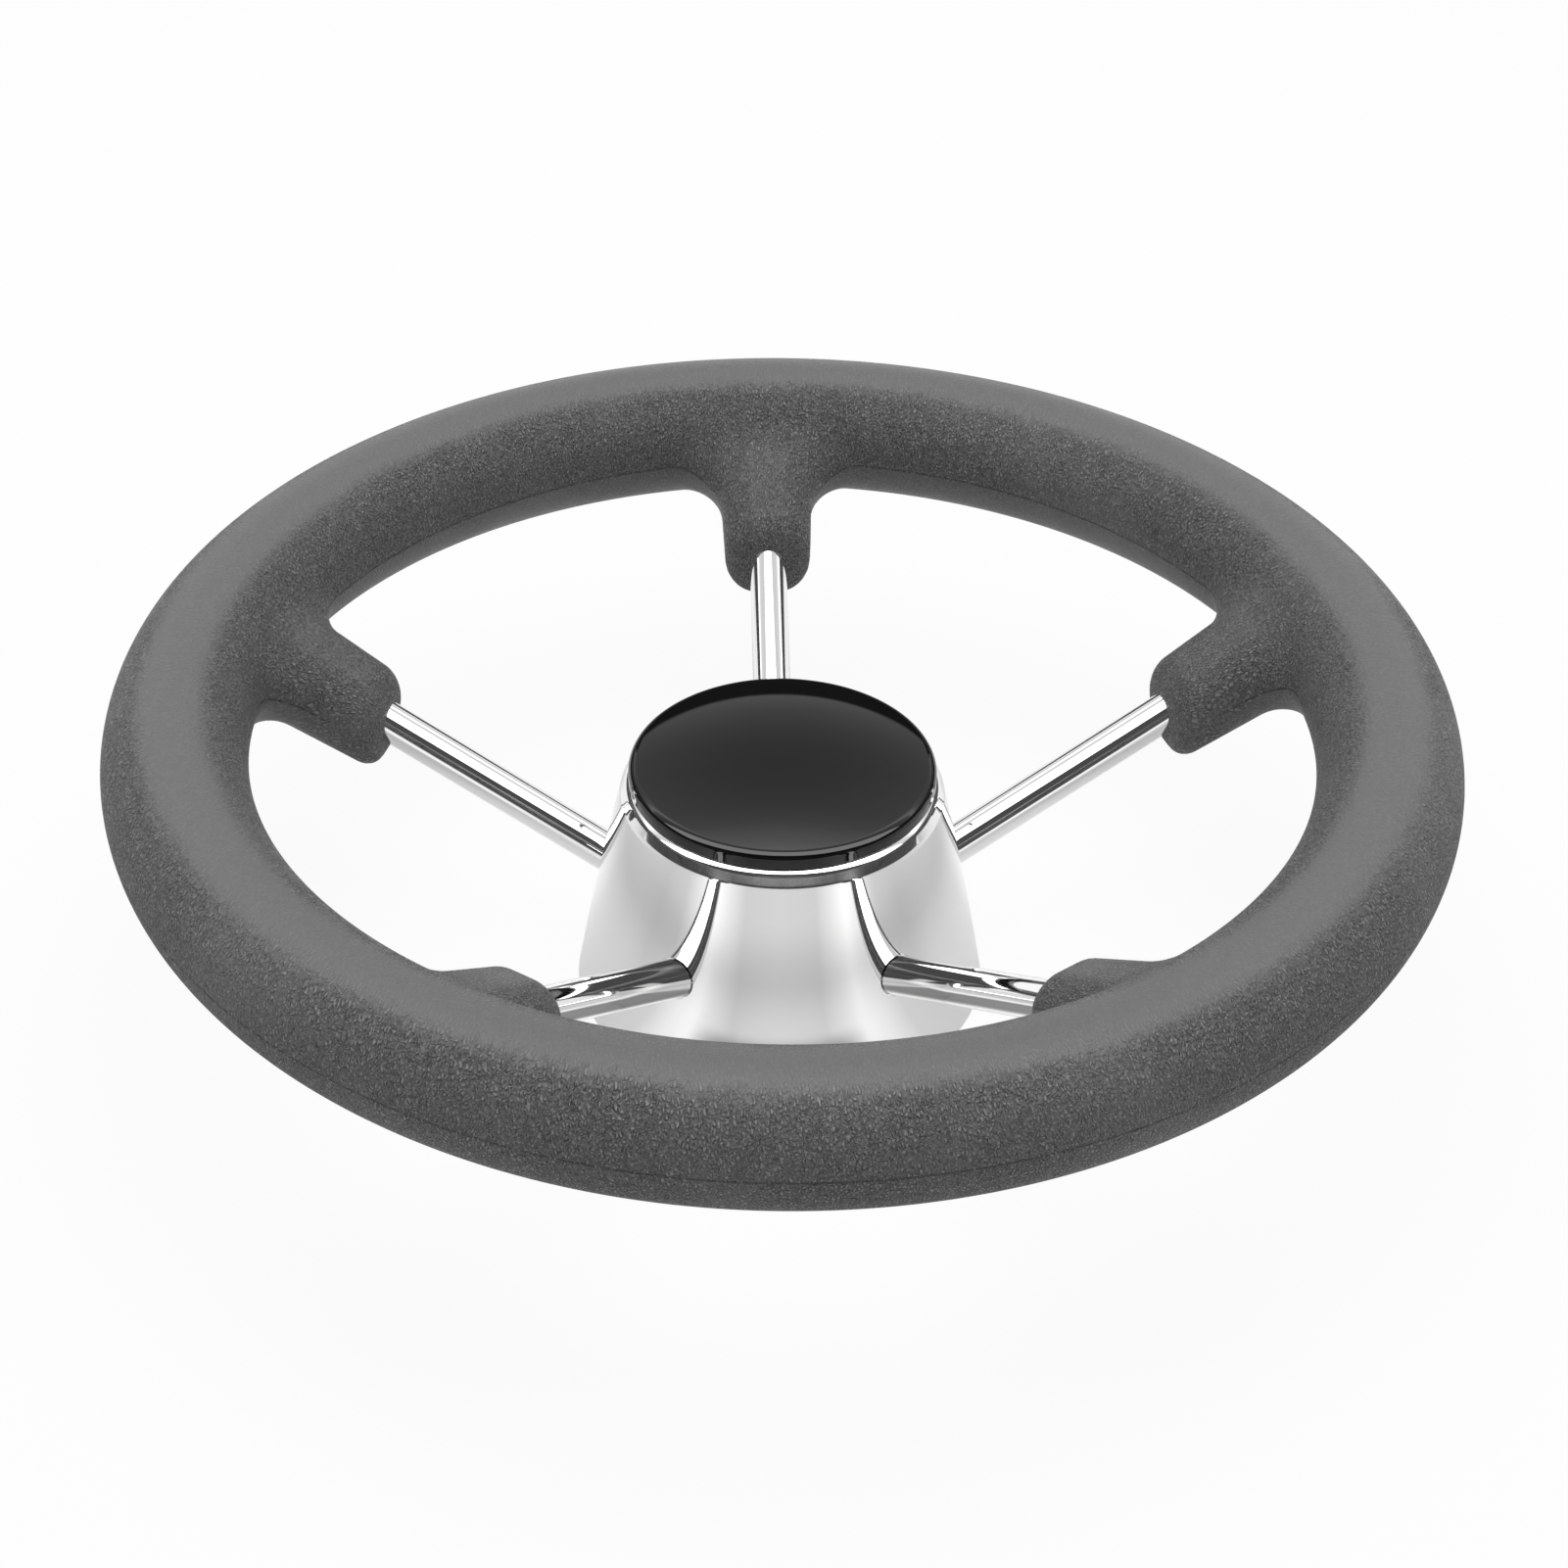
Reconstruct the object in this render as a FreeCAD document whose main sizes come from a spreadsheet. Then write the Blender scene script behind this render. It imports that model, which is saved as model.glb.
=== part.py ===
"""Boat steering wheel: a foam-gripped rim on five sloping stainless spokes, with a bell hub and a cap.

The base of the bell is centred on the origin and +Z is the wheel's axis, towards the driver. All sizes are in
millimetres and degrees.
"""
import FreeCAD, Part
import math
import os
import Sketcher
from types import SimpleNamespace

DRIVING_SIZES = [
    ("WheelDiameter", 343.0, "outside of the grip, 13 1/2 inches"),
    ("WheelDepth", 78.3, "bell's base to the middle plane of the rim"),
    ("GripThickness", 36.6, "round section of the foam grip"),
    ("CoreDiameter", 12.0, "stainless ring bar inside the foam"),
    ("SpokeCount", 5, "spokes, evenly spaced"),
    ("SpokeDiameter", 10.3, "round bar of a spoke"),
    ("SpokeRise", 3.0, "spoke's axis above the ring bar's, at the ring bar"),
    ("DishAngle", 26.7, "slope of the spokes below the rim's plane"),
    ("BootWidth", 23.6, "boot at its end, side to side"),
    ("BootHeight", 22.2, "boot at its end, square to the spoke"),
    ("BootCorner", 9.0, "rounding of the boot's section"),
    ("BootDrop", 1.0, "middle of the boot below the spoke's axis"),
    ("BootReach", 45.8, "rim's centre circle to the boot's end, level"),
    ("BootDraft", 2.4, "taper of the boot on each side"),
    ("BootEndTilt", 6.0, "end face of the boot, away from upright"),
    ("BootEndRound", 5.5, "edge round the boot's end face"),
    ("BootRootRound", 12.5, "hollow where the boot runs into the rim"),
    ("BellBaseDiameter", 107.1, "open base of the bell"),
    ("BellShoulderDiameter", 83.6, "top of the bell's cone"),
    ("BellHeight", 62.9, "base to the flat top"),
    ("BellSheet", 1.2, "stainless sheet of the bell"),
    ("CollarDiameter", 82.0, "collar above the cone"),
    ("CollarHeight", 4.0, "step to the flat top"),
    ("CollarRound", 1.5, "outer edge of the flat top"),
    ("NutOpening", 60.0, "hole in the flat top, for the cap's fingers and the nut"),
    ("WeldGap", 0.1, "each side of a spoke in the bell's wall"),
    ("CapDiameter", 79.2, "plastic cap"),
    ("CapEdgeHeight", 4.4, "upright side of the cap above the bell"),
    ("CapDome", 3.0, "rise of the cap's top"),
    ("CapWall", 2.0, "moulded wall of the cap"),
    ("CapEdgeRound", 1.0, "edge between the cap's side and top"),
    ("FingerCount", 6, "snap fingers under the cap"),
    ("FingerSweep", 26.0, "angle that one finger covers"),
    ("FingerThickness", 1.6, "wall of a finger"),
    ("FingerClearance", 0.2, "finger to the edge of the opening"),
    ("BarbReach", 0.9, "barb past the edge of the opening"),
    ("BarbHeight", 3.2, "barb's catch to the finger's tip"),
    ("BarbEdge", 0.4, "upright edge of a barb"),
    ("BossDiameter", 38.0, "turned boss"),
    ("BossLength", 38.0, "boss, end to end"),
    ("BossRecess", 6.0, "boss's lower face above the bell's base"),
    ("BossChamfer", 1.5, "both ends of the boss"),
    ("TaperDiameter", 19.05, "large end of the helm taper, 3/4 inch"),
    ("TaperLengthPerStep", 12.0, "taper of 1 in 12 on the diameter"),
    ("TaperDepth", 33.0, "tapered length"),
    ("ThreadHole", 13.5, "clearance round the 1/2 inch shaft thread"),
    ("KeywayWidth", 4.76, "3/16 inch key"),
    ("KeywayDepth", 2.0, "keyway beyond the taper's large end"),
    ("NutAcrossFlats", 19.05, "1/2-20 hex nut"),
    ("NutHeight", 11.1, "same nut"),
    ("NutBore", 11.5, "minor diameter of its thread"),
    ("NutCornerBevel", 30.0, "bevel that trims the nut's corners"),
]
SHEET_NAME = "Sizes"
FULL_TURN = 360
NUT_SIDES = 6
CLOSE = 0.01
TESTED_SHARES = (0.05, 0.5, 0.95)


class Size:
    """A length, angle or count: its number, and the same thing as an expression on the sheet."""

    def __init__(self, number, text):
        self.number = number
        self.text = text

    def __add__(self, other):
        other = as_size(other)
        return Size(self.number + other.number, f"({self.text} + {other.text})")

    def __sub__(self, other):
        other = as_size(other)
        return Size(self.number - other.number, f"({self.text} - {other.text})")

    def __mul__(self, other):
        other = as_size(other)
        return Size(self.number * other.number, f"({self.text} * {other.text})")

    def __truediv__(self, other):
        other = as_size(other)
        return Size(self.number / other.number, f"({self.text} / {other.text})")

    def __neg__(self):
        return Size(-self.number, f"(0 - {self.text})")


def as_size(value):
    return value if isinstance(value, Size) else Size(float(value), str(float(value)))


def tangent(angle):
    return Size(math.tan(math.radians(angle.number)), f"tan({angle.text})")


def cosine(angle):
    return Size(math.cos(math.radians(angle.number)), f"cos({angle.text})")


def fill_sheet(document):
    """Write the driving sizes into the sheet and return them under their aliases."""
    sheet = document.addObject("Spreadsheet::Sheet", SHEET_NAME)
    for row, (alias, value, meaning) in enumerate(DRIVING_SIZES, 1):
        sheet.set(f"A{row}", alias)
        sheet.set(f"B{row}", str(value))
        sheet.setAlias(f"B{row}", alias)
        sheet.set(f"C{row}", meaning)
    document.recompute()
    return SimpleNamespace(**{
        alias: Size(float(sheet.get(alias)), f"{SHEET_NAME}.{alias}") for alias, _, _ in DRIVING_SIZES
    })


def origin_item(body, role):
    return next(item for item in body.Origin.OriginFeatures if item.Role == role)


def new_body(name):
    body = doc.addObject("PartDesign::Body", name)
    body.Label = name
    return body


def new_sketch(body, name, plane="XZ_Plane"):
    sketch = body.newObject("Sketcher::SketchObject", name)
    sketch.AttachmentSupport = [(origin_item(body, plane), "")]
    sketch.MapMode = "FlatFace"
    return sketch


def sketch_across_spoke(body, name):
    """A sketch square to the spoke along +Y, centred on its axis over the ring bar and facing the hub."""
    sketch = new_sketch(body, name)
    sketch.AttachmentOffset = FreeCAD.Placement(
        FreeCAD.Vector(0, spoke_start_height.number, -rim_radius.number),
        FreeCAD.Rotation(FreeCAD.Vector(1, 0, 0), size.DishAngle.number),
    )
    sketch.setExpression("AttachmentOffset.Base.y", spoke_start_height.text)
    sketch.setExpression("AttachmentOffset.Base.z", (-rim_radius).text)
    sketch.setExpression("AttachmentOffset.Rotation.Angle", size.DishAngle.text)
    return sketch


def bind(sketch, kind, *where, value):
    """Add a dimension whose value follows the sheet."""
    index = sketch.addConstraint(Sketcher.Constraint(kind, *where, value.number))
    sketch.setExpression(f"Constraints[{index}]", value.text)


def place_point(sketch, edge, end, across, up):
    """Fix one point of a sketch by its distances from the sketch's axes."""
    for value, axis, kind in ((across, -2, "DistanceX"), (up, -1, "DistanceY")):
        if isinstance(value, Size):
            bind(sketch, kind, edge, end, value=value)
        else:
            sketch.addConstraint(Sketcher.Constraint("PointOnObject", edge, end, axis))


def draw_circle(sketch, across, up, radius):
    centre = FreeCAD.Vector(as_size(across).number, as_size(up).number)
    edge = sketch.addGeometry(Part.Circle(centre, FreeCAD.Vector(0, 0, 1), radius.number))
    place_point(sketch, edge, 3, across, up)
    bind(sketch, "Radius", edge, value=radius)


def arc_between(start, end, radius, turns_left):
    """The shorter arc from start to end, drawn anticlockwise as a sketch wants it."""
    chord = end - start
    rise = math.sqrt(radius ** 2 - chord.Length ** 2 / 4)
    side = FreeCAD.Vector(-chord.y, chord.x).normalize() * (rise if turns_left else -rise)
    centre = (start + end) / 2 + side
    first, last = (start, end) if turns_left else (end, start)
    angles = [math.atan2(point.y - centre.y, point.x - centre.x) for point in (first, last)]
    if angles[1] < angles[0]:
        angles[1] += 2 * math.pi
    return Part.ArcOfCircle(Part.Circle(centre, FreeCAD.Vector(0, 0, 1), radius), *angles)


def draw_outline(sketch, corners):
    """Draw a closed outline. Each corner is (across, up), with 0 for a place on an axis, and a corner that
    has a third and fourth item starts an arc of that radius, which turns left or right."""
    points = [FreeCAD.Vector(as_size(corner[0]).number, as_size(corner[1]).number) for corner in corners]
    ends = []
    for index, corner in enumerate(corners):
        start, end = points[index], points[(index + 1) % len(points)]
        if len(corner) == 2:
            sketch.addGeometry(Part.LineSegment(start, end))
            ends.append((1, 2))
        else:
            turns_left = corner[3] == "left"
            sketch.addGeometry(arc_between(start, end, corner[2].number, turns_left))
            ends.append((1, 2) if turns_left else (2, 1))
    for index, corner in enumerate(corners):
        following = (index + 1) % len(corners)
        sketch.addConstraint(Sketcher.Constraint(
            "Coincident", index, ends[index][1], following, ends[following][0]))
        place_point(sketch, index, ends[index][0], corner[0], corner[1])
        if len(corner) == 4:
            bind(sketch, "Radius", index, value=corner[2])


def rounded_box(width, height, corner, drop):
    """Corners of a rounded rectangle this far below the sketch's origin, for draw_outline."""
    half_wide, half_high = width / 2, height / 2
    flat_wide, flat_high = half_wide - corner, half_high - corner
    return [
        (flat_wide, -half_high - drop, corner, "left"),
        (half_wide, -flat_high - drop),
        (half_wide, flat_high - drop, corner, "left"),
        (flat_wide, half_high - drop),
        (-flat_wide, half_high - drop, corner, "left"),
        (-half_wide, flat_high - drop),
        (-half_wide, -flat_high - drop, corner, "left"),
        (-flat_wide, -half_high - drop),
    ]


def add_feature(body, kind, name, sketch, **settings):
    """Add a feature made from a sketch. A setting that is a Size is bound to the sheet."""
    feature = body.newObject(f"PartDesign::{kind}", name)
    feature.Profile = (sketch, [""])
    for key, value in settings.items():
        if isinstance(value, Size):
            feature.setExpression(key, value.text)
        else:
            setattr(feature, key, value)
    body.Tip = feature
    return feature


def spin(body, kind, name, sketch, **settings):
    """Revolve or groove a sketch about the wheel's axis."""
    return add_feature(body, kind, name, sketch, ReferenceAxis=(sketch, ["V_Axis"]), **settings)


def repeat_round_axis(body, name, features, count):
    pattern = body.newObject("PartDesign::PolarPattern", name)
    pattern.Originals = features
    pattern.Axis = (origin_item(body, "Z_Axis"), [""])
    pattern.Angle = FULL_TURN
    pattern.setExpression("Occurrences", count.text)
    body.Tip = pattern
    return pattern


def dress_edges(body, kind, name, wanted, **settings):
    """Fillet or chamfer the edges of the body so far that the wanted test picks."""
    doc.recompute()
    base = body.Tip
    picked = [f"Edge{index}" for index, edge in enumerate(base.Shape.Edges, 1) if wanted(edge)]
    if not picked:
        raise RuntimeError(f"{name} found no edges")
    feature = body.newObject(f"PartDesign::{kind}", name)
    feature.Base = (base, picked)
    for key, value in settings.items():
        feature.setExpression(key, value.text)
    body.Tip = feature
    return feature


def samples(edge):
    first, last = edge.ParameterRange
    return [edge.valueAt(first + (last - first) * share) for share in TESTED_SHARES]


def beside_first_spoke(point):
    """The point turned by whole spoke spacings until it lies nearest to the spoke along +Y."""
    spacing = 2 * math.pi / size.SpokeCount.number
    turn = math.atan2(point.x, point.y)
    turn -= spacing * round(turn / spacing)
    reach = math.hypot(point.x, point.y)
    return FreeCAD.Vector(reach * math.sin(turn), reach * math.cos(turn), point.z)


def on_boot_end(edge):
    tilt = math.radians(size.BootEndTilt.number)
    outward = FreeCAD.Vector(0, -math.cos(tilt), -math.sin(tilt))
    middle = FreeCAD.Vector(0, boot_end_radius.number, boot_end_height.number)
    return all(abs((beside_first_spoke(point) - middle).dot(outward)) < CLOSE for point in samples(edge))


def on_boot_root(edge):
    """True for edges where a boot's side meets the round of the rim."""
    for point in samples(edge):
        near = beside_first_spoke(point)
        reach = math.hypot(near.x, near.y)
        depth = math.hypot(reach - rim_radius.number, near.z - size.WheelDepth.number)
        if abs(depth - grip_radius.number) > CLOSE or reach > rim_radius.number:
            return False
        if abs(near.x) > boot_root_width.number / 2 + CLOSE:
            return False
    return True


def make_rim_grip():
    """The foam moulding: a torus with a boot over each spoke's root, hollow for the ring and the spokes."""
    body = new_body("rim_grip")
    section = new_sketch(body, "grip_section")
    draw_circle(section, rim_radius, size.WheelDepth, grip_radius)
    spin(body, "Revolution", "grip_ring", section)

    boot_section = sketch_across_spoke(body, "boot_section")
    draw_outline(boot_section, rounded_box(
        boot_root_width, boot_root_height, boot_root_corner, size.BootDrop))
    boot = add_feature(body, "Pad", "boot", boot_section, Length=boot_length + size.BootHeight,
                       TaperAngle=-size.BootDraft)

    end_line = new_sketch(body, "boot_end_line", "YZ_Plane")
    lean = tangent(size.BootEndTilt) * size.BootHeight
    draw_outline(end_line, [
        (boot_end_radius - lean, boot_end_height + size.BootHeight),
        (boot_end_radius + lean, boot_end_height - size.BootHeight),
        (boot_end_radius - boot_length, boot_end_height - size.BootHeight * 2),
        (boot_end_radius - boot_length, boot_end_height + size.BootHeight),
    ])
    trim = add_feature(body, "Pocket", "boot_end", end_line, Midplane=True, Length=size.BootWidth * 2)
    repeat_round_axis(body, "boots", [boot, trim], size.SpokeCount)
    dress_edges(body, "Fillet", "boot_end_rounding", on_boot_end, Radius=size.BootEndRound)
    dress_edges(body, "Fillet", "boot_root_rounding", on_boot_root, Radius=size.BootRootRound)

    spoke_hole = sketch_across_spoke(body, "spoke_hole_section")
    draw_circle(spoke_hole, 0, 0, spoke_radius)
    hole = add_feature(body, "Pocket", "spoke_hole", spoke_hole, Reversed=True,
                       Length=boot_length + size.BootHeight)
    repeat_round_axis(body, "spoke_holes", [hole], size.SpokeCount)
    core_hole = new_sketch(body, "core_hole_section")
    draw_circle(core_hole, rim_radius, size.WheelDepth, core_radius)
    spin(body, "Groove", "core_hole", core_hole)
    return body


def make_rim_core():
    """The ring bar that the spokes are welded to."""
    body = new_body("rim_core")
    section = new_sketch(body, "core_section")
    draw_circle(section, rim_radius, size.WheelDepth, core_radius)
    spin(body, "Revolution", "core_ring", section)
    return body


def make_spoke(index):
    """A straight bar, coped to the ring at one end and to the boss at the other."""
    body = new_body(f"spoke_{index + 1}")
    section = sketch_across_spoke(body, f"spoke_{index + 1}_section")
    draw_circle(section, 0, 0, spoke_radius)
    add_feature(body, "Pad", f"spoke_{index + 1}_bar", section, Length=rim_radius / cosine(size.DishAngle))
    ring_cope = new_sketch(body, f"spoke_{index + 1}_ring_cope")
    draw_circle(ring_cope, rim_radius, size.WheelDepth, core_radius)
    spin(body, "Groove", f"spoke_{index + 1}_ring_end", ring_cope)
    boss_cope = new_sketch(body, f"spoke_{index + 1}_boss_cope")
    draw_outline(boss_cope, [
        (0, -size.WheelDepth),
        (boss_radius, -size.WheelDepth),
        (boss_radius, size.WheelDepth),
        (0, size.WheelDepth),
    ])
    spin(body, "Groove", f"spoke_{index + 1}_boss_end", boss_cope)
    body.Placement = FreeCAD.Placement(FreeCAD.Vector(), FreeCAD.Rotation(FreeCAD.Vector(0, 0, 1), 0))
    body.setExpression("Placement.Rotation.Angle", (as_size(FULL_TURN * index) / size.SpokeCount).text)
    return body


def make_hub_bell():
    """The drawn shell: a cone, a small step in to the collar, and a flat top with a round hole."""
    body = new_body("hub_bell")
    base_radius = size.BellBaseDiameter / 2
    shoulder_radius = size.BellShoulderDiameter / 2
    collar_radius = size.CollarDiameter / 2
    shoulder_height = size.BellHeight - size.CollarHeight
    sheet = size.BellSheet
    step_below = shoulder_height - sheet
    section = new_sketch(body, "bell_section")
    draw_outline(section, [
        (base_radius, 0),
        (shoulder_radius, shoulder_height),
        (collar_radius, shoulder_height),
        (collar_radius, size.BellHeight - size.CollarRound, size.CollarRound, "left"),
        (collar_radius - size.CollarRound, size.BellHeight),
        (opening_radius, size.BellHeight),
        (opening_radius, size.BellHeight - sheet),
        (collar_radius - sheet, size.BellHeight - sheet),
        (collar_radius - sheet, step_below),
        (shoulder_radius - sheet, step_below),
        (base_radius - sheet, 0),
    ])
    spin(body, "Revolution", "bell_shell", section)
    hole_section = sketch_across_spoke(body, "bell_hole_section")
    draw_circle(hole_section, 0, 0, spoke_radius + size.WeldGap)
    hole = add_feature(body, "Pocket", "bell_hole", hole_section, Reversed=True,
                       Length=rim_radius / cosine(size.DishAngle))
    repeat_round_axis(body, "bell_holes", [hole], size.SpokeCount)
    return body


def make_hub_boss():
    """The turned boss: a blind taper for the helm shaft, a hole for its thread, and a keyway."""
    body = new_body("hub_boss")
    taper_radius = size.TaperDiameter / 2
    taper_top = size.BossRecess + size.TaperDepth
    taper_end_radius = taper_radius - size.TaperDepth / size.TaperLengthPerStep / 2
    section = new_sketch(body, "boss_section")
    draw_outline(section, [
        (taper_radius, size.BossRecess),
        (boss_radius - size.BossChamfer, size.BossRecess),
        (boss_radius, size.BossRecess + size.BossChamfer),
        (boss_radius, boss_top - size.BossChamfer),
        (boss_radius - size.BossChamfer, boss_top),
        (size.ThreadHole / 2, boss_top),
        (size.ThreadHole / 2, taper_top),
        (taper_end_radius, taper_top),
    ])
    spin(body, "Revolution", "boss_turning", section)
    slot = new_sketch(body, "keyway_section", "XY_Plane")
    slot.setExpression("AttachmentOffset.Base.z", size.BossRecess.text)
    half_key = size.KeywayWidth / 2
    draw_outline(slot, [
        (-half_key, 0), (half_key, 0),
        (half_key, taper_radius + size.KeywayDepth), (-half_key, taper_radius + size.KeywayDepth),
    ])
    add_feature(body, "Pocket", "keyway", slot, Reversed=True, Length=size.TaperDepth)
    return body


def make_shaft_nut():
    """The hex nut that holds the wheel on the helm shaft, resting on the boss."""
    body = new_body("shaft_nut")
    corner = size.NutAcrossFlats / 2 / cosine(as_size(FULL_TURN / NUT_SIDES / 2))
    hexagon = new_sketch(body, "nut_hexagon", "XY_Plane")
    hexagon.setExpression("AttachmentOffset.Base.z", boss_top.text)
    half_flat = size.NutAcrossFlats / 2
    draw_outline(hexagon, [
        (corner / 2, -half_flat), (corner, 0), (corner / 2, half_flat),
        (-(corner / 2), half_flat), (-corner, 0), (-(corner / 2), -half_flat),
    ])
    add_feature(body, "Pad", "nut_blank", hexagon, Length=size.NutHeight)
    nut_top = boss_top + size.NutHeight
    bevel_drop = (corner - half_flat) * tangent(size.NutCornerBevel)
    for name, face, inward in (("top", nut_top, -bevel_drop), ("bottom", boss_top, bevel_drop)):
        bevel = new_sketch(body, f"nut_{name}_bevel_section")
        draw_outline(bevel, [
            (half_flat, face),
            (corner * 2 - half_flat, face),
            (corner * 2 - half_flat, face + inward * 2),
        ])
        spin(body, "Groove", f"nut_{name}_bevel", bevel)
    bore = new_sketch(body, "nut_bore_section", "XY_Plane")
    bore.setExpression("AttachmentOffset.Base.z", boss_top.text)
    draw_circle(bore, 0, 0, size.NutBore / 2)
    add_feature(body, "Pocket", "nut_bore", bore, Reversed=True, Length=size.NutHeight)
    return body


def make_centre_cap():
    """The moulded cap: a shallow dome with an upright side, and barbed fingers through the bell's opening."""
    body = new_body("centre_cap")
    cap_radius = size.CapDiameter / 2
    seat = size.BellHeight
    top = seat + size.CapEdgeHeight + size.CapDome
    wall = size.CapWall
    dome = dome_radius(cap_radius, size.CapDome)
    dome_centre = top - dome
    inner_radius = cap_radius - wall
    rounding_reach = cap_radius - size.CapEdgeRound
    rounding_rise = leg(dome - size.CapEdgeRound, rounding_reach)
    dome_share = dome / (dome - size.CapEdgeRound)
    inner_edge = dome_centre + leg(dome - wall, inner_radius)
    section = new_sketch(body, "cap_section")
    draw_outline(section, [
        (inner_radius, seat),
        (cap_radius, seat),
        (cap_radius, dome_centre + rounding_rise, size.CapEdgeRound, "left"),
        (rounding_reach * dome_share, dome_centre + rounding_rise * dome_share, dome, "left"),
        (0, top),
        (0, top - wall, dome - wall, "right"),
        (inner_radius, inner_edge),
    ])
    spin(body, "Revolution", "cap_shell", section)

    outside = opening_radius - size.FingerClearance
    inside = outside - size.FingerThickness
    catch = seat - size.BellSheet
    tip = catch - size.BarbHeight
    finger_root = dome_centre + leg(dome - wall, outside) + wall / 2
    finger_section = new_sketch(body, "finger_section")
    draw_outline(finger_section, [
        (inside, tip),
        (outside, tip),
        (opening_radius + size.BarbReach, catch - size.BarbEdge),
        (opening_radius + size.BarbReach, catch),
        (outside, catch),
        (outside, finger_root),
        (inside, finger_root),
    ])
    finger = spin(body, "Revolution", "finger", finger_section, Angle=size.FingerSweep, Midplane=True)
    repeat_round_axis(body, "fingers", [finger], size.FingerCount)
    return body


def dome_radius(reach, rise):
    """Radius of a ball that rises this much over a disc of this reach."""
    return (reach * reach + rise * rise) / (rise * 2)


def leg(slant, reach):
    """The upright leg of a right triangle with this slant side and level leg."""
    return Size(
        math.sqrt(slant.number ** 2 - reach.number ** 2), f"sqrt({slant.text} ^ 2 - {reach.text} ^ 2)"
    )


def check_objects():
    """Stop if any object failed or any sub-part is not a whole solid."""
    for item in doc.Objects:
        if "Invalid" in item.State or "Error" in item.State:
            raise RuntimeError(f"{item.Name} failed: {item.State}")
    for body in bodies:
        if body.Shape.isNull() or not body.Shape.isValid() or len(body.Shape.Solids) != 1:
            raise RuntimeError(f"{body.Label} is not one valid solid")


doc = FreeCAD.newDocument("steering_wheel")
size = fill_sheet(doc)

grip_radius = size.GripThickness / 2
rim_radius = (size.WheelDiameter - size.GripThickness) / 2
core_radius = size.CoreDiameter / 2
spoke_radius = size.SpokeDiameter / 2
boot_length = size.BootReach / cosine(size.DishAngle)
boot_end_radius = rim_radius - size.BootReach
spoke_start_height = size.WheelDepth + size.SpokeRise
boot_end_height = spoke_start_height - size.BootReach * tangent(size.DishAngle)
boot_spread = boot_length * tangent(size.BootDraft)
boot_root_width = size.BootWidth + boot_spread * 2
boot_root_height = size.BootHeight + boot_spread * 2
boot_root_corner = size.BootCorner + boot_spread
opening_radius = size.NutOpening / 2
boss_radius = size.BossDiameter / 2
boss_top = size.BossRecess + size.BossLength

bodies = [make_rim_grip(), make_rim_core()]
for spoke_index in range(int(size.SpokeCount.number)):
    bodies.append(make_spoke(spoke_index))
bodies += [make_hub_bell(), make_hub_boss(), make_shaft_nut(), make_centre_cap()]
doc.recompute()
check_objects()

os.makedirs("parts", exist_ok=True)
for body in bodies:
    body.Shape.exportStep(f"parts/{body.Label}.step")
    box = body.Shape.BoundBox
    print(f"{body.Label:12s} {body.Shape.Volume:12.1f} mm3  z {box.ZMin:7.2f} to {box.ZMax:7.2f}")
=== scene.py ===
"""Dresses a boat steering wheel in a plain white studio: a leather-grained foam grip, mirror-polished stainless
steel and a glossy cap. All sizes are in metres. The bell stands on the floor at the origin, +Z is the wheel's
axis, and one spoke points along +Y.
"""

import math

import bmesh
import bpy
from bpy.props import FloatProperty, FloatVectorProperty, IntProperty, PointerProperty
from mathutils import Matrix, Vector


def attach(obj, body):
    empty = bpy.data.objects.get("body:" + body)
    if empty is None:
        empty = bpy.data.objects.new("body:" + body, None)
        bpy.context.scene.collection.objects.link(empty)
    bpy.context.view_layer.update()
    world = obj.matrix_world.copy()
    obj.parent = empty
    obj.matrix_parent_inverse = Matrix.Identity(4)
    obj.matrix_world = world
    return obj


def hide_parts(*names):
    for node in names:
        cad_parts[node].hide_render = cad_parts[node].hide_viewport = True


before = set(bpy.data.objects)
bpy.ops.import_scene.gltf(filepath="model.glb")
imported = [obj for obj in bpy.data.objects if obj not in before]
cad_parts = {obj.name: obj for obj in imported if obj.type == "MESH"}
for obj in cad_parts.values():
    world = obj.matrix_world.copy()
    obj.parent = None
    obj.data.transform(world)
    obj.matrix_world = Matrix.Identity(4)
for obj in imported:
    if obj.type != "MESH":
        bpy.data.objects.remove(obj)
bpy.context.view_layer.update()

bl_info = {
    "name": "Boat steering wheel",
    "version": (1, 0, 0),
    "blender": (4, 5, 0),
    "location": "View3D > Sidebar > Wheel",
    "description": "Builds the grip, spokes, bell and cap of a boat steering wheel, with their finishes",
    "category": "Object",
}

BODY = "root"
FULL_TURN = 2 * math.pi
DEGREES = 180 / math.pi
EDGE_SUPPORT = 0.00012


def length(name, description, default):
    return FloatProperty(name=name, description=description, default=default, min=0.0, unit="LENGTH",
                         subtype="DISTANCE", precision=5)


def angle(name, description, default):
    return FloatProperty(name=name, description=description, default=math.radians(default), unit="ROTATION",
                         subtype="ANGLE")


def colour(name, description, default):
    return FloatVectorProperty(name=name, description=description, default=default, size=3, min=0.0, max=1.0,
                               subtype="COLOR")


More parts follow.
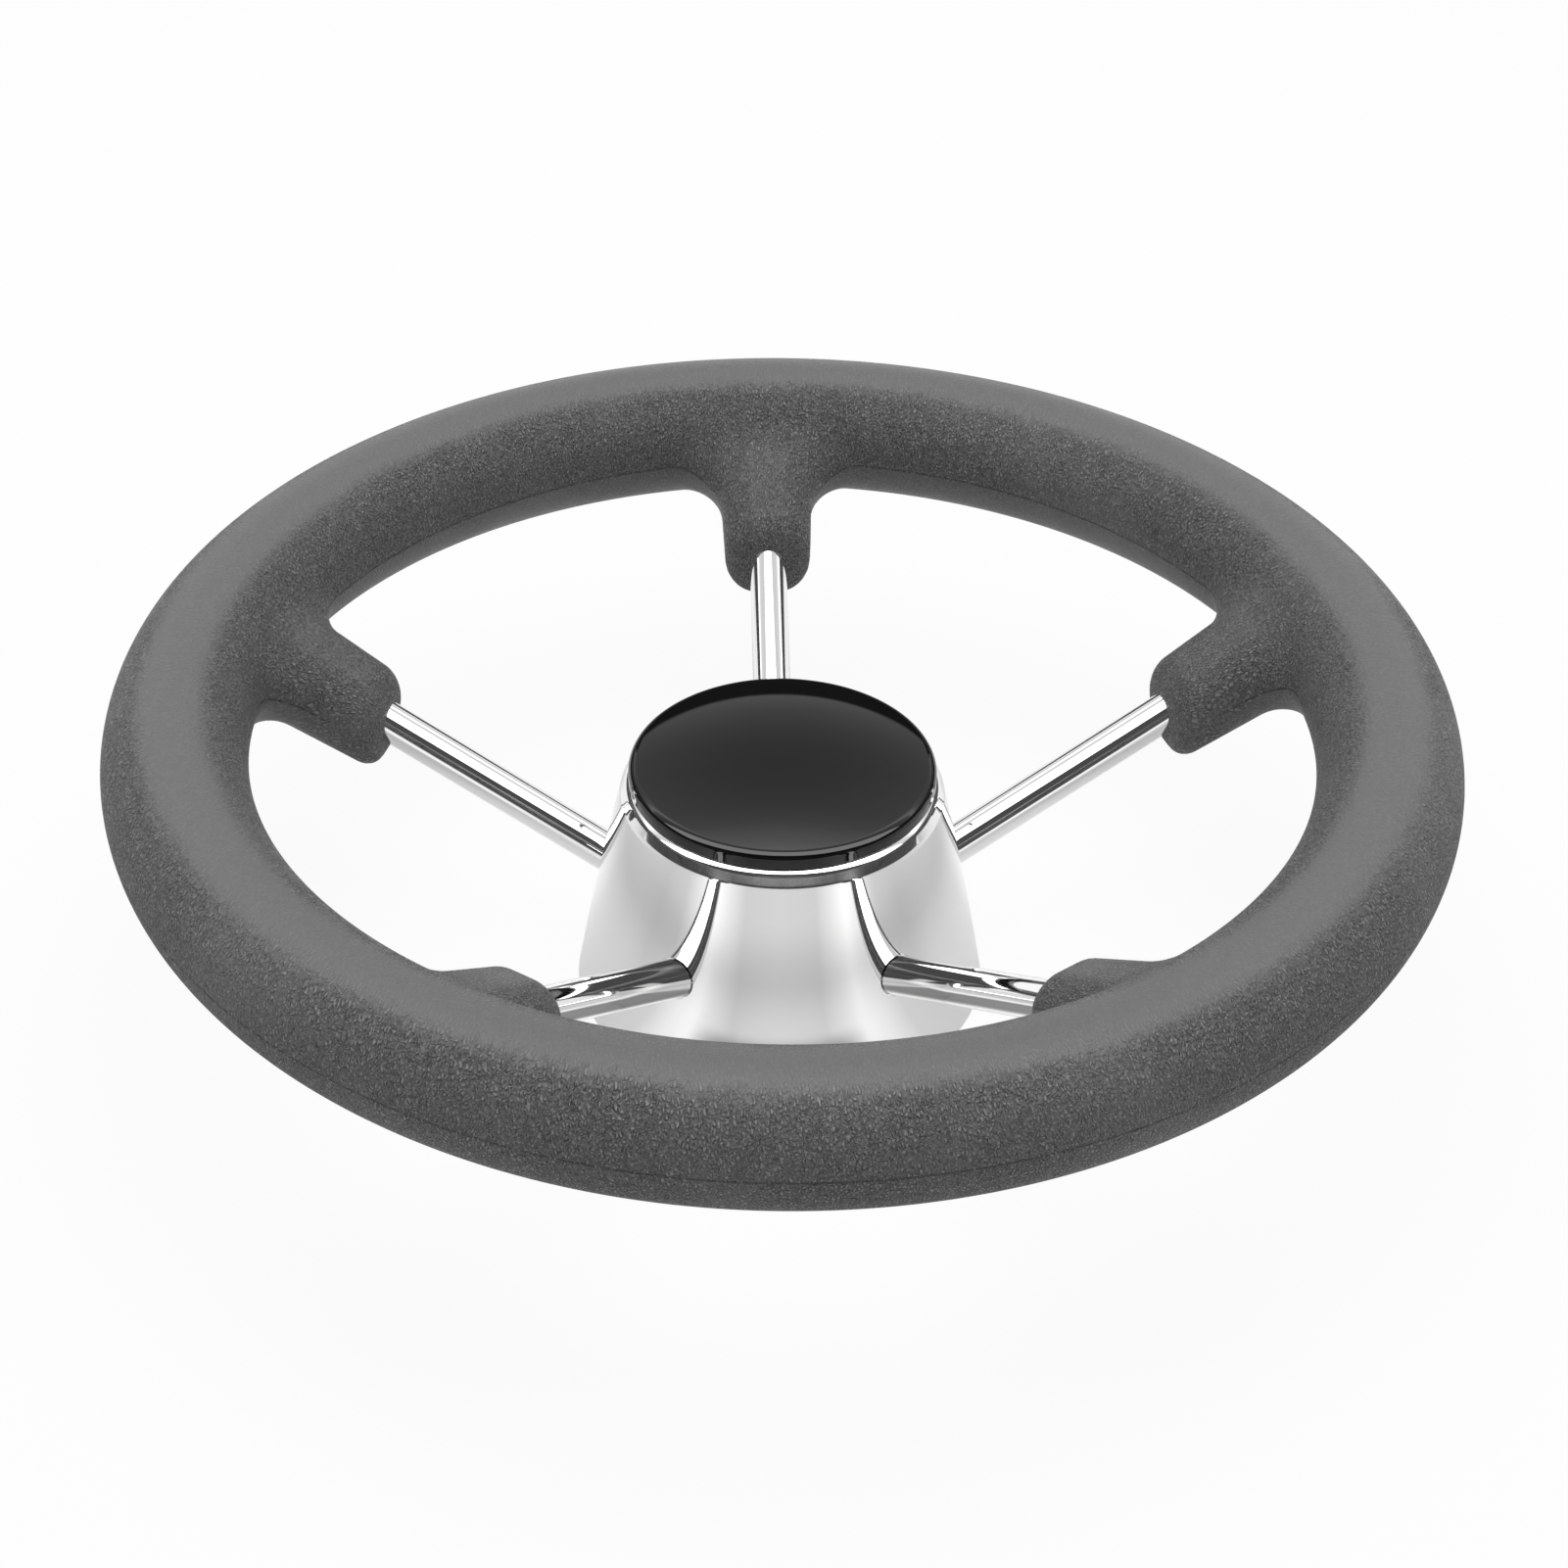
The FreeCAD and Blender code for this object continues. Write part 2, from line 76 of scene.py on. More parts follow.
class GripSizes(bpy.types.PropertyGroup):
    """The foam moulding over the ring and the roots of the spokes."""

    ring_radius: length("Ring radius", "Axis of the wheel to the middle of the grip", 0.1532)
    ring_height: length("Ring height", "Floor to the middle of the grip", 0.0783)
    grip_radius: length("Grip radius", "Half the thickness of the round grip", 0.0183)
    core_radius: length("Core radius", "Half the thickness of the ring bar inside", 0.006)
    boot_width: length("Boot width", "Boot at its end, side to side", 0.0236)
    boot_height: length("Boot height", "Boot at its end, square to the spoke", 0.0222)
    boot_corner: length("Boot corner", "Rounding of the boot's section", 0.009)
    boot_drop: length("Boot drop", "Middle of the boot below the spoke's axis", 0.001)
    boot_reach: length("Boot reach", "Middle of the grip to the boot's end, level", 0.0458)
    boot_draft: angle("Boot draft", "Taper of the boot on each side", 2.4)
    boot_end_tilt: angle("Boot end tilt", "End face of the boot, away from upright", 6.0)
    boot_end_round: length("Boot end round", "Edge round the boot's end face", 0.0055)
    boot_root_round: length("Boot root round", "Hollow where the boot runs into the rim", 0.0125)
    seam_dip: length("Seam dip", "Drop of the mould seam on the inside of the rim", 0.0025)
    mesh_step: length("Mesh step", "Spacing of the surface mesh", 0.0014)


class SpokeSizes(bpy.types.PropertyGroup):
    """The five polished bars."""

    count: IntProperty(name="Spokes", description="Bars, evenly spaced", default=5, min=3)
    radius: length("Spoke radius", "Half the thickness of a bar", 0.00515)
    rise: length("Spoke rise", "Bar's axis above the ring's, at the ring", 0.003)
    dish: angle("Dish", "Slope of the bars below the rim's plane", 26.7)
    boss_radius: length("Boss radius", "Turned boss that the bars are coped to", 0.019)
    sides: IntProperty(name="Sides", description="Flats round a bar", default=96, min=12)


class BellSizes(bpy.types.PropertyGroup):
    """The drawn and polished shell over the boss."""

    base_radius: length("Base radius", "Open base of the bell", 0.05355)
    shoulder_radius: length("Shoulder radius", "Top of the cone", 0.0418)
    height: length("Height", "Base to the flat top", 0.0629)
    sheet: length("Sheet", "Thickness of the sheet", 0.0012)
    collar_height: length("Collar height", "Cone to the flat top", 0.004)
    collar_slope: angle("Collar slope", "Lean of the band above the cone", 27.5)
    collar_round: length("Collar round", "Outer edge of the flat top", 0.003)
    shoulder_round: length("Shoulder round", "Edge from the cone to the collar", 0.004)
    opening_radius: length("Opening radius", "Hole in the flat top", 0.030)
    bow: length("Bow", "Outward swell of the cone's side at half height", 0.0004)
    joint_gap: length("Joint gap", "Dark joint round each spoke in the wall", 0.0003)
    steps: IntProperty(name="Steps", description="Segments round the axis", default=256, min=32)


class CapSizes(bpy.types.PropertyGroup):
    """The snap-in plastic cap."""

    radius: length("Cap radius", "Outside of the cap", 0.0396)
    edge_height: length("Edge height", "Upright side above the bell", 0.0044)
    dome: length("Dome", "Rise of the top", 0.003)
    wall: length("Wall", "Moulded wall", 0.002)
    edge_round: length("Edge round", "Edge between the side and the top", 0.0024)
    finger_count: IntProperty(name="Fingers", description="Snap fingers under the cap", default=6, min=2)
    finger_sweep: angle("Finger sweep", "Angle that one finger covers", 26.0)
    finger_thickness: length("Finger thickness", "Wall of a finger", 0.0016)
    finger_clearance: length("Finger clearance", "Finger to the edge of the opening", 0.0002)
    barb_reach: length("Barb reach", "Barb past the edge of the opening", 0.0009)
    barb_height: length("Barb height", "Barb's catch to the finger's tip", 0.0032)
    barb_edge: length("Barb edge", "Upright edge of a barb", 0.0004)


class Finishes(bpy.types.PropertyGroup):
    """Colours of the surfaces."""

    # the foam's own tone lies between these two: the first is its raised grain cells with a painted highlight,
    # the second its creases in painted shade
    foam: colour("Foam", "Skin of the grip, at its lightest", (0.205, 0.206, 0.205))
    foam_shade: colour("Foam painted shade", "Same skin in the creases of its grain", (0.045, 0.046, 0.046))
    steel: colour("Polished steel", "Spokes and bell", (0.88, 0.88, 0.875))
    turned: colour("Turned steel", "Boss, nut and ring bar", (0.62, 0.61, 0.60))
    # the bell's inner face is unpolished steel, and its dark grey is painted shade inside the bell and in the
    # joint round each spoke
    sheet: colour("Sheet inside", "Dull inner face of the bell", (0.16, 0.16, 0.16))
    cap: colour("Cap", "Glossy plastic", (0.003, 0.003, 0.003))


class StudioSettings(bpy.types.PropertyGroup):
    """Camera and light."""

    lens: FloatProperty(name="Lens", description="Focal length on a 36 mm sensor, in mm", default=84.05)
    distance: length("Camera distance", "Camera to the middle of the rim", 0.931)
    elevation: angle("Camera elevation", "Camera above the rim's plane", 35.11)
    turn: angle("Camera turn", "Camera to the side of the front, from above", -2.6)
    pan: angle("Pan", "Aim to the right of the rim's middle", 0.0255)
    tilt: angle("Tilt", "Aim above the rim's middle", -0.8785)
    roll: angle("Roll", "Camera's own roll", 0.871)
    key_power: FloatProperty(name="Key light", description="Power of the overhead light", default=17.0,
                             unit="POWER")
    fill_level: FloatProperty(name="Fill level", description="Level of the surrounding light", default=0.46)
    floor: colour("Floor", "Paper that the wheel stands on", (0.86, 0.86, 0.86))
    floor_glow: FloatProperty(name="Floor glow", description="Share of plain white that the camera sees in it",
                              default=0.92)
    floor_glint: FloatProperty(name="Floor glint", description="Same share as polished surfaces see it",
                               default=0.35)


GROUPS = {
    "wheel_grip": GripSizes,
    "wheel_spokes": SpokeSizes,
    "wheel_bell": BellSizes,
    "wheel_cap": CapSizes,
    "wheel_finishes": Finishes,
    "wheel_studio": StudioSettings,
}


class Wire:
    """A number in a node tree, used in sums as an ordinary number is."""

    def __init__(self, tree, socket):
        self.tree = tree
        self.socket = socket

    def math(self, operation, *others):
        node = self.tree.nodes.new("ShaderNodeMath")
        node.operation = operation
        for slot, value in zip(node.inputs, (self, *others)):
            plug(self.tree, slot, value)
        return Wire(self.tree, node.outputs[0])

    def __add__(self, other):
        return self.math("ADD", other)

    def __sub__(self, other):
        return self.math("SUBTRACT", other)

    def __mul__(self, other):
        return self.math("MULTIPLY", other)

    def __truediv__(self, other):
        return self.math("DIVIDE", other)

    def __neg__(self):
        return self * -1.0

    def __rsub__(self, other):
        return -self + other

    __radd__ = __add__
    __rmul__ = __mul__

    def size(self):
        return self.math("ABSOLUTE")

    def root(self):
        return self.math("SQRT")

    def least(self, other):
        return self.math("MINIMUM", other)

    def most(self, other):
        return self.math("MAXIMUM", other)

    def over(self, other):
        """1 where this is above the other, and 0 elsewhere."""
        return self.math("GREATER_THAN", other)


def plug(tree, slot, value):
    """Link a wire to a socket, or set the socket to a plain value."""
    if isinstance(value, Wire):
        tree.links.new(value.socket, slot)
    else:
        slot.default_value = value


def hypot(one, other):
    return (one * one + other * other).root()


def blend(low, high, share):
    """The low wire where share is 0 and the high one where it is 1."""
    return low + (high - low) * share


def ease(value, start, end):
    """A share that goes smoothly from 0 at start to 1 at end."""
    node = value.tree.nodes.new("ShaderNodeMapRange")
    node.interpolation_type = "SMOOTHSTEP"
    for name, given in (("Value", value), ("From Min", start), ("From Max", end)):
        plug(value.tree, node.inputs[name], given)
    return Wire(value.tree, node.outputs["Result"])


def split(tree, socket):
    """The three parts of a vector socket."""
    node = tree.nodes.new("ShaderNodeSeparateXYZ")
    tree.links.new(socket, node.inputs[0])
    return [Wire(tree, part) for part in node.outputs]


def join(tree, parts):
    """A vector wire from three parts."""
    node = tree.nodes.new("ShaderNodeCombineXYZ")
    for slot, part in zip(node.inputs, parts):
        plug(tree, slot, part)
    return Wire(tree, node.outputs[0])


def add_node(tree, kind, **inputs):
    """A node with its named inputs linked or set, where an underscore in a name stands for a space."""
    node = tree.nodes.new(kind)
    for name, value in inputs.items():
        plug(tree, node.inputs[name.replace("_", " ")], value)
    return node


def result_of(tree, kind, **inputs):
    """The first output of such a node, as a wire."""
    return Wire(tree, add_node(tree, kind, **inputs).outputs[0])


def new_tree(name, inputs, outputs):
    """A geometry node tree with its sockets, and its group input and output nodes."""
    tree = bpy.data.node_groups.new(name, "GeometryNodeTree")
    for title, kind in inputs.items():
        tree.interface.new_socket(title, in_out="INPUT", socket_type=f"NodeSocket{kind}")
    for title, kind in outputs.items():
        tree.interface.new_socket(title, in_out="OUTPUT", socket_type=f"NodeSocket{kind}")
    return tree, tree.nodes.new("NodeGroupInput"), tree.nodes.new("NodeGroupOutput")


def numbers_of(groups):
    """The numbers in some property groups, as (group, property) pairs."""
    kinds = {"FLOAT", "INT"}
    return [(group, row) for group in groups for row in group.bl_rna.properties if row.type in kinds]


def size_inputs(groups):
    """Sockets for a tree's named inputs, one for each number in the property groups."""
    return {row.name: row.type.title() for _, row in numbers_of(groups)}


class Sizes:
    """The wires that bring the sizes of some property groups into a tree."""

    def __init__(self, tree, given, groups):
        for _, row in numbers_of(groups):
            setattr(self, row.identifier, Wire(tree, given.outputs[row.name]))


def grip_surface_tree(groups):
    """Node group that gives, for any place, its distance from the foam's skin and from the mould's seam."""
    tree, given, result = new_tree("grip_surface", {"Place": "Vector", **size_inputs(groups)},
                                   {"Distance": "Float", "Seam": "Float"})
    size = Sizes(tree, given, groups)
    x, y, z = split(tree, given.outputs["Place"])

    per_radian = size.count / FULL_TURN
    reach = hypot(x, y)
    turn = x.math("ARCTAN2", y)
    turn = turn - (turn * per_radian).math("ROUND") / per_radian
    across, out = reach * turn.math("SINE"), reach * turn.math("COSINE")

    inward = reach - size.ring_radius
    lift = z - size.ring_height
    from_ring_line = hypot(inward, lift)
    ring = from_ring_line - size.grip_radius
    ring_slope = inward / from_ring_line
    ring_normal = (across / reach * ring_slope, out / reach * ring_slope, lift / from_ring_line)

    cos_dish, sin_dish = size.dish.math("COSINE"), size.dish.math("SINE")
    spoke_height = size.ring_height + size.rise
    from_root, from_height = out - size.ring_radius, z - spoke_height
    along = -(from_root * cos_dish + from_height * sin_dish)
    above = from_height * cos_dish - from_root * sin_dish + size.boot_drop
    spread = (size.boot_reach / cos_dish - along) * size.boot_draft.math("TANGENT")
    flat_across = spread + (size.boot_width / 2 - size.boot_corner)
    flat_above = spread + (size.boot_height / 2 - size.boot_corner)
    past_across, past_above = across.size() - flat_across, above.size() - flat_above
    round_across, round_above = past_across.most(0.0), past_above.most(0.0)
    corner = hypot(round_across, round_above)
    boot_side = corner + past_across.most(past_above).least(0.0) - size.boot_corner
    corner = corner.most(1e-6)
    normal_across = round_across / corner * across.math("SIGN")
    normal_above = round_above / corner * above.math("SIGN")

    end_out = size.ring_radius - size.boot_reach
    end_height = spoke_height - size.boot_reach * size.dish.math("TANGENT")
    end_tilt = size.boot_end_tilt
    boot_end = (end_out - out) * end_tilt.math("COSINE") - (z - end_height) * end_tilt.math("SINE")
    end_round = size.boot_end_round
    side_over, end_over = boot_side + end_round, boot_end + end_round
    boot = hypot(side_over.most(0.0), end_over.most(0.0)) + side_over.most(end_over).least(0.0) - end_round
    boot = boot.most(-along)

    # a ball of the fillet's radius that rolls between the ring and the boot, whose faces meet at any angle
    fillet = size.boot_root_round
    from_ring, from_boot = fillet - ring, fillet - boot
    lean = (ring_normal[0] * normal_across
            + (ring_normal[2] * cos_dish - ring_normal[1] * sin_dish) * normal_above)
    slant = (from_ring * from_ring + from_boot * from_boot - from_ring * from_boot * lean * 2.0)
    slant = (slant / (1.0 - lean * lean).most(0.02)).most(0.0).root()
    inside = ((from_ring - from_boot * lean).over(0.0) * (from_boot - from_ring * lean).over(0.0)
              * from_ring.over(0.0) * from_boot.over(0.0))
    foam = blend(ring.least(boot), fillet - slant, inside)

    inner_side = ease(-inward, 0.0, size.grip_radius)
    ring_seam = lift + inner_side * size.seam_dip
    beside = ease(across.size(), size.boot_width * 0.45, size.boot_width * 1.1)
    in_front = ease(along, 0.0, size.grip_radius)
    seam = blend(ring_seam, above, (1.0 - beside) * in_front)
    tree.links.new(foam.socket, result.inputs["Distance"])
    tree.links.new(seam.socket, result.inputs["Seam"])
    return tree


def grip_at(tree, surface, given, place):
    """The grip's distance and seam wires at a place, with the sizes that the tree is given."""
    node = tree.nodes.new("GeometryNodeGroup")
    node.node_tree = surface
    for slot in node.inputs:
        if slot.name == "Place":
            plug(tree, slot, place)
        else:
            tree.links.new(given.outputs[slot.name], slot)
    return Wire(tree, node.outputs["Distance"]), Wire(tree, node.outputs["Seam"])


def settle_on_surface(tree, surface, given, size, mesh):
    """Move each point along the slope of the distance until it lies on the skin."""
    probe = size.mesh_step / 4
    place = result_of(tree, "GeometryNodeInputPosition")
    parts = split(tree, place.socket)
    here, _ = grip_at(tree, surface, given, place)
    slopes = []
    for axis in range(3):
        moved = [part + probe if index == axis else part for index, part in enumerate(parts)]
        beside, _ = grip_at(tree, surface, given, join(tree, moved))
        slopes.append((beside - here) / probe)
    steepness = (slopes[0] * slopes[0] + slopes[1] * slopes[1] + slopes[2] * slopes[2]).most(0.2)
    offset = join(tree, [-(slope * here / steepness) for slope in slopes])
    return result_of(tree, "GeometryNodeSetPosition", Geometry=mesh, Offset=offset)


def round_axis_tree():
    """Node group that repeats a shape evenly round the wheel's axis, as one plain mesh."""
    inputs = {"Geometry": "Geometry", "Count": "Int", "Finish": "Material"}
    tree, given, result = new_tree("round_axis", inputs, {"Geometry": "Geometry"})
    count = Wire(tree, given.outputs["Count"])
    index = result_of(tree, "GeometryNodeInputIndex")
    points = result_of(tree, "GeometryNodePoints", Count=count)
    turned = join(tree, (0.0, 0.0, index / count * -FULL_TURN))
    copies = result_of(tree, "GeometryNodeInstanceOnPoints", Points=points, Rotation=turned,
                       Instance=Wire(tree, given.outputs["Geometry"]))
    plain = result_of(tree, "GeometryNodeRealizeInstances", Geometry=copies)
    coated = result_of(tree, "GeometryNodeSetMaterial", Geometry=plain,
                       Material=Wire(tree, given.outputs["Finish"]))
    tree.links.new(coated.socket, result.inputs["Geometry"])
    return tree


def grip_tree(groups):
    """Geometry nodes for the grip: the skin from its distance field, bored for the spokes and the ring."""
    surface = grip_surface_tree(groups)
    inputs = {"Finish": "Material", **size_inputs(groups)}
    tree, given, result = new_tree("grip", inputs, {"Geometry": "Geometry"})
    size = Sizes(tree, given, groups)
    finish = Wire(tree, given.outputs["Finish"])
    place = result_of(tree, "GeometryNodeInputPosition")
    distance, seam = grip_at(tree, surface, given, place)

    margin = size.mesh_step * 3
    half = size.ring_radius + size.grip_radius + margin
    low = size.ring_height - size.boot_reach * size.dish.math("TANGENT") - size.boot_height
    high = size.ring_height + size.grip_radius + margin
    wide, tall = ((span / size.mesh_step).math("ROUND") for span in (half * 2, high - low))
    block = result_of(tree, "GeometryNodeVolumeCube", Density=-distance, Background=-1.0,
                      Min=join(tree, (-half, -half, low)), Max=join(tree, (half, half, high)),
                      Resolution_X=wide, Resolution_Y=wide, Resolution_Z=tall)
    mesh = result_of(tree, "GeometryNodeVolumeToMesh", Volume=block, Threshold=0.0)
    for _ in range(2):
        mesh = settle_on_surface(tree, surface, given, size, mesh)

    # each bore is as long as the ring's radius, which takes it well past the boot's end
    bore = result_of(tree, "GeometryNodeMeshCylinder", Vertices=size.sides, Radius=size.radius,
                     Depth=size.ring_radius)
    half_bore = size.ring_radius / 2
    middle_out = size.ring_radius - half_bore * size.dish.math("COSINE")
    middle_up = size.ring_height + size.rise - half_bore * size.dish.math("SINE")
    leaned = result_of(tree, "GeometryNodeTransform", Geometry=bore,
                       Translation=join(tree, (0.0, middle_out, middle_up)),
                       Rotation=join(tree, (size.dish + math.pi / 2, 0.0, 0.0)))
    bores = tree.nodes.new("GeometryNodeGroup")
    bores.node_tree = round_axis_tree()
    for name, value in (("Geometry", leaned), ("Count", size.count), ("Finish", finish)):
        plug(tree, bores.inputs[name], value)
    ring_line = result_of(tree, "GeometryNodeCurvePrimitiveCircle", Resolution=180, Radius=size.ring_radius)
    ring_section = result_of(tree, "GeometryNodeCurvePrimitiveCircle", Resolution=16, Radius=size.core_radius)
    ring_bore = result_of(tree, "GeometryNodeCurveToMesh", Curve=ring_line, Profile_Curve=ring_section)
    raised = result_of(tree, "GeometryNodeTransform", Geometry=ring_bore,
                       Translation=join(tree, (0.0, 0.0, size.ring_height)))

    bored = mesh
    for cutter in (Wire(tree, bores.outputs[0]), raised):
        cut = tree.nodes.new("GeometryNodeMeshBoolean")
        cut.operation = "DIFFERENCE"
        cut.solver = "MANIFOLD"
        plug(tree, cut.inputs["Mesh 1"], bored)
        plug(tree, cut.inputs["Mesh 2"], cutter)
        bored = Wire(tree, cut.outputs["Mesh"])
    marked = result_of(tree, "GeometryNodeStoreNamedAttribute", Geometry=bored, Name="from_seam", Value=seam)
    plain = result_of(tree, "GeometryNodeRealizeInstances", Geometry=marked)
    coated = result_of(tree, "GeometryNodeSetMaterial", Geometry=plain, Material=finish)
    tree.links.new(coated.socket, result.inputs["Geometry"])
    return tree


def new_object(name, data):
    """An object in the scene with this mesh, lamp or camera."""
    thing = bpy.data.objects.new(name, data)
    bpy.context.scene.collection.objects.link(thing)
    return thing


def mesh_of(shape, name):
    """The finished mesh of a shape that bmesh holds."""
    mesh = bpy.data.meshes.new(name)
    shape.to_mesh(mesh)
    shape.free()
    return mesh


def grown_mesh(name, tree, inputs, start=None):
    """The plain mesh that a geometry node tree makes of its inputs, and of a mesh to start from."""
    seed = new_object(f"{name}_seed", start or bpy.data.meshes.new(f"{name}_seed"))
    modifier = seed.modifiers.new(name, "NODES")
    modifier.node_group = tree
    sockets = {item.name: item.identifier for item in tree.interface.items_tree if item.in_out == "INPUT"}
    for title, value in inputs.items():
        modifier[sockets[title]] = value
    depsgraph = bpy.context.evaluated_depsgraph_get()
    mesh = bpy.data.meshes.new_from_object(seed.evaluated_get(depsgraph), preserve_all_data_layers=True,
                                           depsgraph=depsgraph)
    mesh.name = name
    bpy.data.objects.remove(seed)
    if not mesh.polygons:
        raise RuntimeError(f"{name} came out empty")
    return mesh


def add_piece(name, mesh, material, slot, *nodes, sharp=40.0):
    """Put a finished mesh in the scene in place of its solids, riding on the wheel."""
    mesh.materials.clear()
    mesh.materials.append(material)
    mesh.polygons.foreach_set("use_smooth", [True] * len(mesh.polygons))
    mesh.set_sharp_from_angle(angle=math.radians(sharp))
    piece = new_object(name, mesh)
    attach(piece, BODY)
    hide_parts(*nodes)
    return piece


def rounded_profile(corners, arc_steps=8):
    """Points round a closed outline of (out, up, radius) corners. A rounded corner has one more point close to
    each end, so that a polished face shades flat right up to it."""
    points = []
    count = len(corners)
    for index, (out, up, radius) in enumerate(corners):
        corner = Vector((out, up))
        before = (Vector(corners[index - 1][:2]) - corner).normalized()
        after = (Vector(corners[(index + 1) % count][:2]) - corner).normalized()
        opening = before.angle(after)
        if radius == 0.0:
            arc = [corner]
        else:
            reach = radius / math.tan(opening / 2)
            centre = corner + (before + after).normalized() * (radius / math.sin(opening / 2))
            start, end = corner + before * reach - centre, corner + after * reach - centre
            sweep = math.pi - opening
            arc = []
            for share in (step / arc_steps for step in range(arc_steps + 1)):
                spoke = start * math.sin(sweep * (1 - share)) + end * math.sin(sweep * share)
                arc.append(centre + spoke / math.sin(sweep))
            arc = [arc[0] + before * EDGE_SUPPORT, *arc, arc[-1] + after * EDGE_SUPPORT]
        points += arc
    return points


def bowed_side(start, end, bow, steps):
    """Corners between two ends of a side that swells out by this much at its middle."""
    between = []
    for step in range(1, steps - 1):
        share = step / steps
        swell = bow * 4 * share * (1 - share)
        out = start[0] + (end[0] - start[0]) * share + swell
        between.append((out, start[1] + (end[1] - start[1]) * share, 0.0))
    return between


def lathe(name, outline, steps, sweep=FULL_TURN, start=0.0):
    """Turn a closed outline of (out, up) points about the wheel's axis, from +Y, by the sweep."""
    shape = bmesh.new()
    first = Matrix.Rotation(start, 3, "Z")
    ring = [shape.verts.new(first @ Vector((0.0, point[0], point[1]))) for point in outline]
    profile = shape.faces.new(ring)
    whole = abs(sweep - FULL_TURN) < 1e-6
    edges = list(profile.edges)
    if whole:
        shape.faces.remove(profile)
    bmesh.ops.spin(shape, geom=edges if whole else [profile, *edges], cent=(0, 0, 0), axis=(0, 0, 1),
                   angle=sweep, steps=steps, use_merge=whole, use_duplicate=False)
    bmesh.ops.remove_doubles(shape, verts=shape.verts, dist=1e-7)
    # an edge that lies on the axis makes no face
    bmesh.ops.delete(shape, geom=[edge for edge in shape.edges if not edge.link_faces], context="EDGES")
    bmesh.ops.recalc_face_normals(shape, faces=shape.faces)
    return mesh_of(shape, name)


def new_material(name, finish, metallic=0.0):
    """A material in one of the wheel's finishes, with its tree, its shader and the place on the piece."""
    material = bpy.data.materials.new(name)
    material.use_nodes = True
    tree = material.node_tree
    shader = tree.nodes["Principled BSDF"]
    shader.inputs["Base Color"].default_value = (*getattr(bpy.context.scene.wheel_finishes, finish), 1.0)
    shader.inputs["Metallic"].default_value = metallic
    return material, tree, shader, Wire(tree, tree.nodes.new("ShaderNodeTexCoord").outputs["Object"])


def noise(place, scale, detail):
    """A cloudy pattern with this many patches to the metre, around a half."""
    return result_of(place.tree, "ShaderNodeTexNoise", Vector=place, Scale=scale, Detail=detail)


def tool_rings(place, scale):
    """Fine rings round the axis, as a turning or spinning tool leaves them."""
    x, y, z = split(place.tree, place.socket)
    return noise(join(place.tree, (hypot(x, y), z, 0.0)), scale, 2.0)


def raise_bumps(tree, shader, *layers):
    """Stack bump layers of (height, depth in metres) under the shader's normal."""
    normal = None
    for height, depth in layers:
        bump = add_node(tree, "ShaderNodeBump", Height=height, Distance=depth, Strength=1.0)
        if normal is not None:
            tree.links.new(normal, bump.inputs["Normal"])
        normal = bump.outputs["Normal"]
    tree.links.new(normal, shader.inputs["Normal"])


